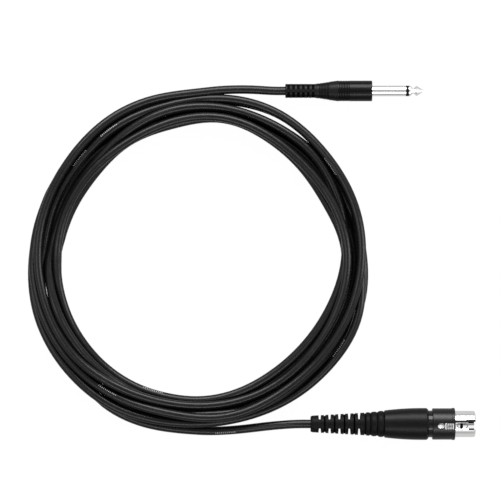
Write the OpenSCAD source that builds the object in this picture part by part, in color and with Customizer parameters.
// Microphone cable, wound in a round coil, with a latching three-contact socket connector
// on one end and a quarter-inch phone plug on the other. It lies flat on z = 0.
// +X runs out of both connectors' fronts. Sizes are in millimetres.

/* [Cord] */
// Diameter of the cord's jacket
cord_d = 5.2; // [4.4:0.1:6.4]
// Diameter of one insulated wire inside the cord
wire_d = 1.4; // [1:0.1:1.8]
// Inner radius of the coil
coil_inner_r = 81; // [65:1:90]
// Outer radius of the coil
coil_outer_r = 102; // [98:1:125]
// Height of the coil's stacked turns
coil_h = 14; // [8:0.5:20]

/* [Socket connector: shell and collar] */
// Outer diameter of the nose that enters the mating shell
nose_d = 15.7; // [13:0.1:19]
// Length of the nose in front of the collar
nose_l = 12.1; // [10:0.1:15]
// Wall of the nose
nose_wall = 0.7; // [0.5:0.05:0.9]
// Radius of the nose's rounded front edge
nose_edge = 1; // [0.6:0.1:1.2]
// Step from the nose up to the shell's body
body_step = 0.2; // [0.1:0.05:0.5]
// Length of the collar
collar_l = 13.5; // [11:0.1:17]
// Wall of the collar
collar_wall = 1.35; // [1.1:0.05:1.8]
// How far the collar's front lip stands proud
lip_proud = 0.25; // [0.1:0.05:0.5]
// Length of the collar's front lip
lip_l = 1.6; // [1:0.1:2.4]
// Length of bare shell between the collar and the grip
neck_l = 2.4; // [1.6:0.1:3.5]
// Length of shell inside the grip
shell_tail_l = 8; // [6:0.5:10]

/* [Socket connector: contacts] */
// Bore of a contact, for a pin of 2.39 mm
contact_bore_d = 2.43; // [2:0.01:3]
// Wall of a contact
contact_wall = 0.3; // [0.2:0.05:0.4]
// Depth of a contact's bore
contact_depth = 10.5; // [8:0.5:12.5]
// Radius of the circle that the contacts stand on
contact_circle_r = 4; // [3.4:0.1:4.6]
// Angle of the two upper contacts above the middle
contact_rise = 22; // [10:1:30]
// Length of the contact carrier
insert_l = 21.2; // [20.8:0.1:26]

/* [Latch] */
// Roll of the latch about the connector's axis
latch_roll = 6; // [0:1:15]
// Distance of the latch's pivot behind the nose's front
pivot_back = 17.6; // [16.9:0.1:18.6]
// Diameter of the pivot pin
pivot_pin_d = 0.9; // [0.7:0.05:1]
// Width of the thumb pad
pad_w = 3.5; // [2.8:0.1:4.2]
// Width of the tongue over the nose
tongue_w = 4.4; // [3.6:0.1:5.2]
// Height of the hook above the nose
hook_h = 1.1; // [0.8:0.1:1.4]
// Clear gap on each side of the latch
latch_gap = 0.25; // [0.15:0.05:0.4]
// Furthest press of the latch, in degrees
latch_travel = 5.5; // [4:0.5:6.5]

/* [Socket connector: grip and boot] */
// Wall of the grip over the shell
grip_wall = 1.5; // [1.2:0.1:2]
// Length of the grip
grip_l = 26.3; // [22:0.1:32]
// Radius of the grip's rear end
grip_rear_r = 8.2; // [7.7:0.1:9]
// Wall of the grip's rear cavity
cavity_wall = 1.2; // [0.8:0.1:1.4]
// Thickness of the grip's rear end wall
grip_end_wall = 3.5; // [2.5:0.1:4.5]
// Length of the boot's three bead rings
beads_l = 11.5; // [9:0.1:14]
// Length of the boot's slotted tail
tail_l = 32.7; // [31:0.1:40]
// Radius of the boot where the slotted tail meets the beads
tail_front_r = 6.8; // [6.2:0.1:7.4]
// Radius of the boot where the cord comes out
tail_rear_r = 4.6; // [4.2:0.1:5.2]
// Number of see-through slots in the boot
slot_count = 5; // [3:1:5]
// Distance from slot to slot
slot_pitch = 5.9; // [5.4:0.1:6.4]
// Width of a slot at its mouth
slot_w = 1.9; // [1.2:0.1:2.2]

/* [Phone plug] */
// Diameter of the shaft
shaft_d = 6.35; // [5.2:0.01:7.7]
// Length of the sleeve contact
sleeve_l = 20.3; // [17:0.1:24]
// Length of the insulating ring
ring_l = 1.85; // [1.4:0.05:2.2]
// Length of the tip contact
tip_l = 8.35; // [7:0.05:10]
// Diameter of the rod that carries the tip
rod_d = 2.4; // [2:0.1:2.8]
// Diameter of the barrel
barrel_d = 12.4; // [11.8:0.1:15]
// Length of the barrel
barrel_l = 20.5; // [18:0.1:25]
// Wall of the barrel
barrel_wall = 1.1; // [0.8:0.1:1.3]
// Length of the boot's taper
taper_l = 13.8; // [11:0.1:17]
// Length of the boot's slotted tail
plug_tail_l = 17.8; // [17.4:0.1:22]
// Radius of the boot's slotted tail
plug_tail_r = 4.2; // [4:0.1:5]
// Number of window rows in the boot
window_rows = 6; // [3:1:6]
// Distance from row to row
window_pitch = 2.95; // [2.6:0.05:3]
// Length of one window
window_l = 1.6; // [1.2:0.1:1.8]

/* [Hidden] */
$fn = 96;

fit = 0.03;          // gap between two fixed pieces that seat in each other
hinge_gap = 0.06;    // running clearance of the latch on its pin
through = 1;         // how far a cut runs past the face it opens
cord_r = cord_d / 2;
wire_r = wire_d / 2;

// Where the cord enters each boot. Everything on a connector is placed from here.
xlr_exit_x = -41.7;
xlr_exit_y = -98.2;
plug_exit_x = -56.8;
plug_exit_y = 101.65;

// The coil's centre. A wider coil moves back, so that it stays clear of the plug's boot.
coil_y = -0.5;
coil_clear = 9;
coil_x = min(-109.5, plug_exit_x - sqrt(pow(coil_outer_r + coil_clear, 2)
                                        - pow(plug_exit_y - plug_tail_r - coil_y, 2)));

// Socket connector: radii, from the nose outwards
nose_r = nose_d / 2;
bore_r = nose_r - nose_wall;
body_r = nose_r + body_step;
collar_r = body_r + collar_wall;
lip_r = collar_r + lip_proud;
grip_r = body_r + grip_wall;
xlr_z = max(lip_r, grip_r);
mouth_r = nose_r - nose_edge - 0.25;
insert_r = bore_r - 0.05;

// Socket connector: stations behind the nose's front, as negative lengths
collar_front = -nose_l;
collar_back = collar_front - collar_l;
grip_front = collar_back - neck_l;
shell_back = grip_front - shell_tail_l;
grip_back = grip_front - grip_l;
tail_front = grip_back - beads_l;
boot_end = tail_front - tail_l;
mouth_depth = 0.8;
insert_back = -mouth_depth - insert_l;
contact_r = contact_bore_d / 2 + contact_wall;
contact_front = -mouth_depth - 0.5;
cup_l = 3.5;
contact_back = insert_back - cup_l;
cavity_r = grip_rear_r - cavity_wall;
boot_neck_r = cavity_r - 1.8;
flange_back = grip_back + grip_end_wall;
flange_front = flange_back + 2.5;
ferrule_l = 5;
ferrule_r = cord_r + 0.8;
ferrule_front = flange_front + ferrule_l;
jacket_front = ferrule_front + 1.2;
first_slot = tail_front - 3.6;
web_w = cord_d - 0.1;

// Latch: heights above the connector's axis
latch_floor = body_r - 0.75;
latch_top = body_r + 0.1;
pivot_z = body_r + 0.35;
pivot_u = -pivot_back;
pin_r = pivot_pin_d / 2;
eye_r = pin_r + 0.55;
pad_top = collar_r + 0.1;
window_back = pivot_u - eye_r - latch_gap;
window_front = collar_front - 0.7;
tongue_back = collar_front + 0.2;
tongue_front = -4.4;
tongue_top_r = nose_r + 0.4;
tongue_low_r = nose_r - 0.65;
bar_w = 3;
bar_front = -0.9;
bar_top = nose_r - 0.5;
bar_floor = nose_r - 1.25;
latch_slot_w = tongue_w + 2 * latch_gap;
trough_z = bar_floor - (bar_front - pivot_u) * sin(latch_travel) - 0.3;
spring_u = collar_front - 2.5;
spring_r = 0.8;
spring_wire_r = 0.14;
spring_turns = 4.5;
spring_pocket = 0.6;
screw_u = window_back - 1.65;
screw_head_r = 1.2;
screw_r = 0.8;
screw_low = 2.4;
screw_seat = body_r - 0.4;

// Phone plug: stations behind the shoulder, and radii
shaft_r = shaft_d / 2;
rod_r = rod_d / 2;
barrel_r = barrel_d / 2;
barrel_bore_r = barrel_r - barrel_wall;
taper_front = -barrel_l;
plug_tail_front = taper_front - taper_l;
plug_boot_end = plug_tail_front - plug_tail_l;
plug_z = barrel_r;
barrel_face = 1.2;
flange_l = 2;
sleeve_rear_r = shaft_r + 0.4;
sleeve_rear = -barrel_face - flange_l - 4.8;
sleeve_bore_r = shaft_r - 0.9;
washer_l = 0.8;
lug_l = 0.6;
ground_back = sleeve_rear - lug_l;
washer_back = ground_back - washer_l;
tip_lug_back = washer_back - lug_l;
rivet_back = tip_lug_back - 0.6;
plug_jacket_front = rivet_back - 2.6;
clamp_front = plug_jacket_front - 0.6;
clamp_l = 3;
strap_r = cord_r + 0.75;
spigot_l = 3.2;
spigot_front = taper_front + min(spigot_l, clamp_front - clamp_l - taper_front - 0.3);

// Route of the cord from the phone plug's boot to the coil
plug_tail = [
    [plug_exit_x, plug_exit_y, plug_z],
    [-63, plug_exit_y, plug_z],
    [-74, 102.3, 5.6],
    [-85, 102.5, 6],
    [-96, 102, 7.2],
    [-107, 100.8, 8.4],
    [-118, 98.8, 9]
];

// Route of the cord from the socket connector's boot to the coil
xlr_tail = [
    [xlr_exit_x, xlr_exit_y, xlr_z],
    [-48, xlr_exit_y, xlr_z],
    [-58, -98.8, 8],
    [-69, -100, 5],
    [-80, -101.4, 3],
    [-91, -102.4, cord_r],
    [-103, -102.8, cord_r],
    [-115, -102.2, cord_r],
    [-127, -100.6, cord_r]
];

// Turns a profile of [radius, station] points about the connector's axis
module turned(points) {
    rotate([0, 90, 0]) rotate_extrude() polygon(points);
}

// A plain tube or rod along the connector's axis
module tube(from, to, outer, inner = 0) {
    turned([[inner, from], [outer, from], [outer, to], [inner, to]]);
}

// A round bar along the connector's axis, off centre
module bar_at(from, to, r, y = 0, z = 0) {
    translate([from, y, z]) rotate([0, 90, 0]) cylinder(h = to - from, r = r);
}

// A block from one corner to the other
module block(low, high) {
    translate(low) cube(high - low);
}

// The socket connector's own frame: x = 0 at the nose's front, on its axis
module xlr_frame() {
    translate([xlr_exit_x - boot_end, xlr_exit_y, xlr_z]) children();
}

// The same frame, rolled so that +Z points at the latch
module latch_frame() {
    xlr_frame() rotate([latch_roll, 0, 0]) children();
}

// The phone plug's own frame: x = 0 at the barrel's front face, on its axis
module plug_frame() {
    translate([plug_exit_x - plug_boot_end, plug_exit_y, plug_z]) children();
}

// Unit vector along v
function unit(v) = v / norm(v);

// Direction of a path at its point i
function heading(path, i) =
    unit(path[min(i + 1, len(path) - 1)] - path[max(i - 1, 0)]);

// One ring of a tube's skin round point i of its path
function skin_ring(path, i, r, sides) =
    let (along = heading(path, i),
         side = unit(cross([0, 0, 1], along)),
         up = cross(along, side))
    [for (k = [0 : sides - 1])
        let (a = 360 * (k + 0.5) / sides) path[i] + r * (cos(a) * side + sin(a) * up)];

// A round tube swept along a path of points
module swept(path, r, sides) {
    count = len(path);
    skin = [for (i = [0 : count - 1]) each skin_ring(path, i, r, sides)];
    walls = [for (i = [0 : count - 2], k = [0 : sides - 1])
        let (a = i * sides + k, b = i * sides + (k + 1) % sides)
        each [[a, a + sides, b], [b, a + sides, b + sides]]];
    start_cap = [for (k = [0 : sides - 1]) k];
    end_cap = [for (k = [sides - 1 : -1 : 0]) (count - 1) * sides + k];
    polyhedron(points = skin, faces = concat([start_cap], walls, [end_cap]), convexity = 6);
}

// Points on a quarter arc from the angle start to the angle end
function arc(centre, r, start, end, steps = 6) =
    [for (i = [0 : steps]) let (a = start + (end - start) * i / steps)
        centre + r * [cos(a), sin(a)]];

// Places of the three contacts round the axis, looking in from the front
contact_places = [
    [contact_circle_r * cos(contact_rise), contact_circle_r * sin(contact_rise)],
    [-contact_circle_r * cos(contact_rise), contact_circle_r * sin(contact_rise)],
    [0, -contact_circle_r]
];

// ---- Socket connector ----

// Nickel-plated shell: the bare nose, the neck, and the part that the grip holds
module xlr_shell() {
    color("silver") latch_frame() difference() {
        turned(concat(
            [[mouth_r, -mouth_depth], [mouth_r, 0]],
            arc([nose_r - nose_edge, -nose_edge], nose_edge, 90, 0),
            [[nose_r, collar_front], [body_r, collar_front], [body_r, shell_back],
             [bore_r, shell_back], [bore_r, -mouth_depth]]));
        // The slot that the latch moves in, open at the front for the mating key
        block([window_back, -latch_slot_w / 2, 0], [through, latch_slot_w / 2, nose_r + 2]);
        // Seat and hole of the carrier's screw
        translate([screw_u, 0, screw_seat]) cylinder(h = 2, r = screw_head_r + 0.2, $fn = 48);
        translate([screw_u, 0, 0]) cylinder(h = nose_r, r = screw_r + fit, $fn = 48);
    }
}

// Black collar over the shell, with the latch's window and the screw's recess
module xlr_collar() {
    lip_back = collar_front - lip_l;
    window_w = pad_w + 2 * latch_gap;
    pin_half = window_w / 2 + 1;
    color("black") latch_frame() difference() {
        turned([
            [body_r + fit, collar_back], [collar_r - 0.35, collar_back],
            [collar_r, collar_back + 0.35], [collar_r, lip_back - 0.2],
            [lip_r, lip_back], [lip_r, collar_front - 0.3],
            [lip_r - 0.3, collar_front], [body_r + fit, collar_front]]);
        block([window_back, -window_w / 2, 0], [window_front, window_w / 2, lip_r + 1]);
        block([window_front - through, -window_w / 2, 0],
              [through, window_w / 2, latch_top + 0.15]);
        translate([screw_u, 0, 0]) cylinder(h = lip_r + 1, r = 2.1, $fn = 64);
        translate([pivot_u, pin_half, pivot_z]) rotate([90, 0, 0])
            cylinder(h = 2 * pin_half, r = pin_r + fit, $fn = 48);
    }
}

// Moulded carrier that holds the three contacts apart
module contact_carrier() {
    color("dimgray") latch_frame() difference() {
        tube(insert_back, -mouth_depth, insert_r);
        for (place = contact_places) {
            bar_at(insert_back - through, contact_front, contact_r + fit, place[0], place[1]);
            bar_at(contact_front - through, through, contact_bore_d / 2 + 0.1,
                   place[0], place[1]);
        }
        block([window_back, -latch_slot_w / 2, trough_z], [through, latch_slot_w / 2, nose_r]);
        translate([spring_u, 0, trough_z - spring_pocket])
            cylinder(h = nose_r, r = spring_r + 0.2, $fn = 48);
        translate([screw_u, 0, nose_r - nose_wall - screw_low])
            cylinder(h = nose_r, r = screw_r + fit, $fn = 48);
    }
}

// A socket contact: a turned tube with a solder cup at its back
module contact(i) {
    place = contact_places[i];
    cup_r = contact_r - 0.25;
    color("gold") latch_frame() difference() {
        union() {
            bar_at(insert_back, contact_front, contact_r, place[0], place[1]);
            bar_at(contact_back, insert_back, cup_r, place[0], place[1]);
        }
        bar_at(contact_front - contact_depth, through, contact_bore_d / 2, place[0], place[1]);
        bar_at(contact_back - through, contact_back + cup_l - 0.8, wire_r + fit,
               place[0], place[1]);
    }
}

module contact_1() contact(0);
module contact_2() contact(1);
module contact_3() contact(2);

// Slotted screw through the shell into the carrier
module carrier_screw() {
    head_h = 1;
    color("silver") latch_frame() translate([screw_u, 0, 0]) difference() {
        union() {
            translate([0, 0, nose_r - nose_wall - screw_low])
                cylinder(h = screw_seat + 0.1 - (nose_r - nose_wall - screw_low),
                         r = screw_r, $fn = 48);
            translate([0, 0, screw_seat]) cylinder(h = head_h, r = screw_head_r, $fn = 48);
        }
        rotate([0, 0, 75]) block([-2, -0.2, screw_seat + head_h - 0.45],
                                 [2, 0.2, screw_seat + head_h + through]);
    }
}

// Latch lever: hinge eye, ribbed thumb pad, tongue with its hook, and guide bar
module latch() {
    rib_pitch = 0.95;
    rib_gap = 0.4;
    pad_back = pivot_u + eye_r;
    hook_back = tongue_front - 2.4;
    oval_r = 0.9;
    oval_u = hook_back - 0.8 - oval_r;
    color("silver") latch_frame() difference() {
        union() {
            translate([pivot_u, pad_w / 2, pivot_z]) rotate([90, 0, 0])
                cylinder(h = pad_w, r = eye_r, $fn = 48);
            block([pivot_u, -pad_w / 2, latch_floor + 0.1],
                  [tongue_back + 1, pad_w / 2, latch_top]);
            block([pad_back - 0.1, -pad_w / 2, latch_floor + 0.1],
                  [window_front - 0.2, pad_w / 2, pad_top]);
            intersection() {
                tube(tongue_back, tongue_front, tongue_top_r, tongue_low_r);
                block([tongue_back, -tongue_w / 2, 0], [tongue_front, tongue_w / 2, nose_r + 2]);
            }
            // Hook: steep behind, sloped in front
            translate([0, 1.4, 0]) rotate([90, 0, 0]) linear_extrude(2.8) polygon([
                [hook_back, nose_r + 0.2], [hook_back + 0.1, nose_r + hook_h],
                [hook_back + 0.7, nose_r + hook_h], [tongue_front, nose_r + 0.35],
                [tongue_front, nose_r]]);
            block([tongue_front - 1, -bar_w / 2, bar_floor], [bar_front, bar_w / 2, bar_top]);
        }
        // Bore of the hinge
        translate([pivot_u, pad_w, pivot_z]) rotate([90, 0, 0])
            cylinder(h = 2 * pad_w, r = pin_r + hinge_gap, $fn = 48);
        // Grooves between the pad's ribs
        for (u = [pad_back + 0.25 : rib_pitch : window_front - 0.9])
            block([u, -pad_w, pad_top - 0.4], [u + rib_gap, pad_w, pad_top + through]);
        // Oval hole behind the hook
        translate([oval_u, 0, 0]) {
            for (side = [-1, 1]) translate([0, side * 0.8, 0])
                cylinder(h = nose_r + 2, r = oval_r, $fn = 48);
            block([-oval_r, -0.8, 0], [oval_r, 0.8, nose_r + 2]);
        }
    }
}

// Pin that the latch turns on, pressed into the collar
module latch_pin() {
    pin_half = pad_w / 2 + latch_gap + 1 - fit;
    color("silver") latch_frame() translate([pivot_u, pin_half, pivot_z]) rotate([90, 0, 0])
        cylinder(h = 2 * pin_half, r = pin_r, $fn = 48);
}

// Compression spring that lifts the latch
module latch_spring() {
    low = trough_z - spring_pocket + spring_wire_r + fit;
    high = latch_floor + 0.1 - spring_wire_r - fit;
    steps = 12;
    coil_r = spring_r - spring_wire_r;
    path = [for (i = [0 : spring_turns * steps]) let (a = 360 * i / steps)
        [coil_r * cos(a), coil_r * sin(a), low + (high - low) * i / (spring_turns * steps)]];
    color("silver") latch_frame() translate([spring_u, 0, 0]) swept(path, spring_wire_r, 6);
}

// Rear shell that the hand holds
module xlr_grip() {
    steps = 10;
    flank_l = grip_l - 4;
    flank = [for (i = [0 : steps]) let (t = i / steps)
        [grip_r - (grip_r - grip_rear_r) * pow(1 - t, 2), grip_back + 0.3 + flank_l * t]];
    color("black") xlr_frame() turned(concat(
        [[boot_neck_r + fit, grip_back], [grip_rear_r - 0.3, grip_back]],
        flank,
        [[grip_r, grip_front - 1], [grip_r - 0.9, grip_front], [body_r + fit, grip_front],
         [body_r + fit, shell_back], [cavity_r, shell_back - 1.2],
         [cavity_r, flange_back], [boot_neck_r + fit, flange_back]]));
}

// Soft strain relief: a flange caught in the grip, three beads, and a cross-slotted tail
module xlr_boot() {
    bead_ends = [0, 4.1, 8.2, 11.5] * (beads_l / 11.5);
    bead_r = [7.85, 7.4, 7.05] + (tail_front_r - 6.8) * [1, 1, 1];
    beads = [for (b = [0 : 2]) each
        [for (i = [0 : 6]) let (t = i / 6)
            [bead_r[b] - 0.5 * pow(abs(2 * t - 1), 3),
             grip_back - 0.2 - (bead_ends[b] + (bead_ends[b + 1] - bead_ends[b] - 0.5) * t)]]];
    slope = (tail_rear_r - tail_front_r) / tail_l;
    color("black") xlr_frame() difference() {
        turned(concat(
            [[cord_r + fit, flange_front], [cavity_r - 0.1, flange_front],
             [cavity_r - 0.1, flange_back], [boot_neck_r, flange_back],
             [boot_neck_r, grip_back], [bead_r[0] - 0.5, grip_back]],
            beads,
            [[tail_front_r - 0.6, tail_front + 0.1], [tail_front_r - 0.6, tail_front - 0.3],
             [tail_front_r, tail_front - 0.6], [tail_rear_r + 0.4, boot_end + 1],
             [tail_rear_r - 0.1, boot_end], [cord_r + fit, boot_end]]));
        for (i = [0 : slot_count - 1]) {
            u = first_slot - i * slot_pitch;
            for (side = [-1, 1]) slot_cut(u, side, slot_w);
            // Between two see-through slots, a pair turned by a quarter, in a shallow groove
            if (i < slot_count - 1) {
                rotate([90, 0, 0])
                    for (side = [-1, 1]) slot_cut(u - slot_pitch / 2, side, slot_w * 0.7);
                tube(u - slot_pitch / 2 - 0.5, u - slot_pitch / 2 + 0.5, tail_front_r + 2,
                     tail_front_r + slope * (tail_front - u + slot_pitch / 2) - 0.3);
            }
        }
    }
}

// One side of a slot across the boot, tapered from its mouth to the web
module slot_cut(u, side, mouth) {
    reach = tail_front_r + 2;
    translate([u, 0, -reach]) linear_extrude(2 * reach) polygon([
        [-mouth * 0.3, side * web_w / 2], [mouth * 0.3, side * web_w / 2],
        [mouth / 2, side * reach], [-mouth / 2, side * reach]]);
}

// Crimped ferrule that stops the cord from pulling out through the boot
module cord_ferrule() {
    color("goldenrod") xlr_frame() turned([
        [cord_r + fit, flange_front + fit], [cavity_r - 0.1, flange_front + fit],
        [cavity_r - 0.1, flange_front + 1], [ferrule_r, flange_front + 1],
        [ferrule_r, ferrule_front], [cord_r + fit, ferrule_front]]);
}

// The cord's jacket inside the boot and the grip
module xlr_cord_end() {
    color("black") xlr_frame() tube(boot_end, jacket_front, cord_r);
}

// A wire from the jacket's end to a contact's solder cup, with a spare bend
module wire_to_contact(place, y0) {
    roll = [[cos(latch_roll), -sin(latch_roll)], [sin(latch_roll), cos(latch_roll)]];
    goal = roll * place;
    room = contact_back - jacket_front;
    xlr_frame() swept([
        [jacket_front + fit, y0, 0], [jacket_front + 0.15 * room, y0, 0],
        [jacket_front + 0.45 * room, 0.5 * (goal[0] + y0), 0.5 * goal[1]],
        [jacket_front + 0.85 * room, goal[0], goal[1]],
        [contact_back + 2, goal[0], goal[1]]], wire_r, 8);
}

// Insulated signal wire, to contact 2
module xlr_signal_wire() {
    color("white") wire_to_contact(contact_places[1], -wire_r - 0.1);
}

// Screen of the cord, twisted together, to contact 1
module xlr_shield_wire() {
    color("goldenrod") wire_to_contact(contact_places[0], wire_r + 0.1);
}

// Short link that ties contact 3 to the screen's contact
module contact_jumper() {
    link_r = 0.4;
    cup_r = contact_r - 0.25;
    start = contact_places[0] + [0, -cup_r - link_r];
    end = contact_places[2] + [cup_r + link_r, 0];
    u = contact_back + cup_l / 2;
    color("silver") latch_frame() swept([
        [u, start[0], start[1]], [u - 0.3, start[0] - 0.2, start[1] - 0.8],
        [u - 0.3, end[0] + 0.8, end[1] + 0.6], [u, end[0], end[1]]], link_r, 8);
}

// ---- Phone plug ----

// Tip contact, with the rod that runs back through the sleeve and its riveted end
module plug_tip() {
    ring_end = sleeve_l + ring_l;
    point = ring_end + tip_l;
    blunt = 1.25;
    color("silver") plug_frame() turned(concat(
        [[0, rivet_back], [rod_r + 0.5, rivet_back], [rod_r + 0.5, tip_lug_back],
         [rod_r, tip_lug_back], [rod_r, ring_end], [shaft_r, ring_end],
         [shaft_r, ring_end + 0.7], [shaft_r * 0.5, ring_end + 2.4],
         [shaft_r * 0.5, ring_end + 2.8], [shaft_r * 0.96, ring_end + 4.5]],
        [[shaft_r * 0.9, ring_end + 5]],
        arc([0, point - blunt], blunt, 35, 90)));
}

// Black ring that parts the tip from the sleeve
module tip_insulator() {
    color("black") plug_frame() tube(sleeve_l, sleeve_l + ring_l, shaft_r, rod_r + fit);
}

// Sleeve contact, with the flange that the barrel bears on
module plug_sleeve() {
    color("silver") plug_frame() turned([
        [sleeve_bore_r, sleeve_rear], [sleeve_rear_r, sleeve_rear],
        [sleeve_rear_r, -barrel_face - flange_l], [barrel_bore_r - fit, -barrel_face - flange_l],
        [barrel_bore_r - fit, -barrel_face - fit], [sleeve_rear_r, -barrel_face - fit],
        [sleeve_rear_r, 0], [shaft_r, 0], [shaft_r, sleeve_l], [sleeve_bore_r, sleeve_l]]);
}

// Tube that keeps the rod off the sleeve
module core_insulator() {
    color("ivory") plug_frame() tube(washer_back + washer_l, sleeve_l, sleeve_bore_r - fit,
                                     rod_r + fit);
}

// Washer that keeps the tip's lug off the ground lug
module rear_insulator() {
    color("ivory") plug_frame() tube(washer_back, ground_back, strap_r - 0.45, rod_r + fit);
}

// Solder lug of the tip
module tip_lug() {
    tag_l = 2;
    color("silver") plug_frame() {
        tube(tip_lug_back, washer_back, rod_r + 1, rod_r + fit);
        block([tip_lug_back - tag_l, -0.9, rod_r + 0.7], [washer_back, 0.9, rod_r + 1.1]);
    }
}

// Solder lug of the sleeve: a washer, a strap, and a clamp round the cord's jacket
module ground_lug() {
    strap_in = strap_r - 0.1;
    color("silver") plug_frame() difference() {
        union() {
            tube(ground_back, sleeve_rear, barrel_bore_r - 0.3);
            tube(clamp_front - clamp_l, clamp_front, strap_r);
            block([clamp_front - 1, -1.4, -barrel_bore_r + 0.9], [sleeve_rear, 1.4, -strap_in]);
        }
        tube(ground_back - through, sleeve_rear + through, sleeve_bore_r);
        tube(clamp_front - clamp_l - through, clamp_front + through, cord_r + fit);
    }
}

// Cover of the plug
module plug_barrel() {
    groove = 0.25;
    ring_count = 7;
    color("black") plug_frame() difference() {
        turned([
            [barrel_bore_r, taper_front], [barrel_r, taper_front], [barrel_r, -0.25],
            [barrel_r - 0.25, 0], [sleeve_rear_r + fit, 0], [sleeve_rear_r + fit, -barrel_face],
            [barrel_bore_r, -barrel_face]]);
        for (i = [0 : ring_count - 1]) let (u = taper_front + 0.9 + i * 0.95)
            tube(u - 0.22, u + 0.22, barrel_r + 1, barrel_r - groove);
    }
}

// Soft strain relief of the plug: a spigot in the barrel, a taper, and a windowed tail
module plug_boot() {
    groove = 0.25;
    spine_w = 1.7;
    core_r = cord_r + 0.3;
    steps = 8;
    taper = [for (i = [0 : steps]) let (t = i / steps)
        [plug_tail_r + (barrel_r - plug_tail_r) * (0.85 * t + 0.15 * sin(90 * t)),
         plug_tail_front + taper_l * t]];
    color("black") plug_frame() difference() {
        turned(concat(
            [[cord_r + fit, plug_boot_end], [plug_tail_r - 0.3, plug_boot_end],
             [plug_tail_r, plug_boot_end + 0.3]],
            taper,
            [[barrel_bore_r - fit, taper_front], [barrel_bore_r - fit, spigot_front],
             [cord_r + fit, spigot_front]]));
        for (row = [0 : window_rows - 1]) {
            u = plug_tail_front - 0.3 - window_l - row * window_pitch;
            difference() {
                tube(u, u + window_l, plug_tail_r + 1, core_r);
                block([u - through, -spine_w / 2, -plug_tail_r + 0.3],
                      [u + window_l + through, spine_w / 2, plug_tail_r - 0.3]);
                block([u - through, -plug_tail_r + 0.1, -spine_w / 2],
                      [u + window_l + through, plug_tail_r - 0.1, spine_w / 2]);
            }
        }
        for (i = [0 : 6]) let (u = plug_tail_front + 2.8 + i * 0.9, t = (u - plug_tail_front) / taper_l)
            tube(u - 0.22, u + 0.22, barrel_r + 1,
                 plug_tail_r + (barrel_r - plug_tail_r) * (0.85 * t + 0.15 * sin(90 * t)) - groove);
    }
}

// The cord's jacket inside the plug's boot and clamp
module plug_cord_end() {
    color("black") plug_frame() tube(plug_boot_end, plug_jacket_front, cord_r);
}

// Insulated signal wire, to the tip's lug
module plug_signal_wire() {
    tag_z = rod_r + 0.7 - wire_r - fit;
    color("white") plug_frame() swept([
        [plug_jacket_front + fit, 0, wire_r], [plug_jacket_front + 0.7, 0, wire_r],
        [plug_jacket_front + 1.4, 0, tag_z], [tip_lug_back - 0.75, 0, tag_z]], wire_r, 8);
}

// Screen of the cord, twisted together, to the ground lug's strap
module plug_shield_wire() {
    screen_r = 0.45;
    strap_z = -strap_r + 0.1 + screen_r + fit;
    color("goldenrod") plug_frame() swept([
        [plug_jacket_front + fit, 0, -1.2], [plug_jacket_front + 0.6, 0, -1.2],
        [plug_jacket_front + 1.4, 0, strap_z], [tip_lug_back - 0.4, 0, strap_z]], screen_r, 8);
}

// ---- Cord ----

// Outer shape of the coiled turns
module cord_coil() {
    edge = cord_r * 0.6;
    color("black") translate([coil_x, coil_y, 0]) rotate_extrude($fn = 180) polygon([
        [coil_inner_r + edge, 0], [coil_outer_r - edge, 0], [coil_outer_r, edge],
        [coil_outer_r, coil_h - 2 * edge], [coil_outer_r - 2 * edge, coil_h],
        [coil_inner_r + 2 * edge, coil_h], [coil_inner_r, coil_h - 2 * edge],
        [coil_inner_r, edge]]);
}

module cord_tail_plug() {
    color("black") swept(plug_tail, cord_r, 12);
}

module cord_tail_xlr() {
    color("black") swept(xlr_tail, cord_r, 12);
}

xlr_shell();
xlr_collar();
contact_carrier();
contact_1();
contact_2();
contact_3();
carrier_screw();
latch();
latch_pin();
latch_spring();
xlr_grip();
xlr_boot();
cord_ferrule();
xlr_cord_end();
xlr_signal_wire();
xlr_shield_wire();
contact_jumper();
plug_tip();
tip_insulator();
plug_sleeve();
core_insulator();
rear_insulator();
tip_lug();
ground_lug();
plug_barrel();
plug_boot();
plug_cord_end();
plug_signal_wire();
plug_shield_wire();
cord_coil();
cord_tail_plug();
cord_tail_xlr();
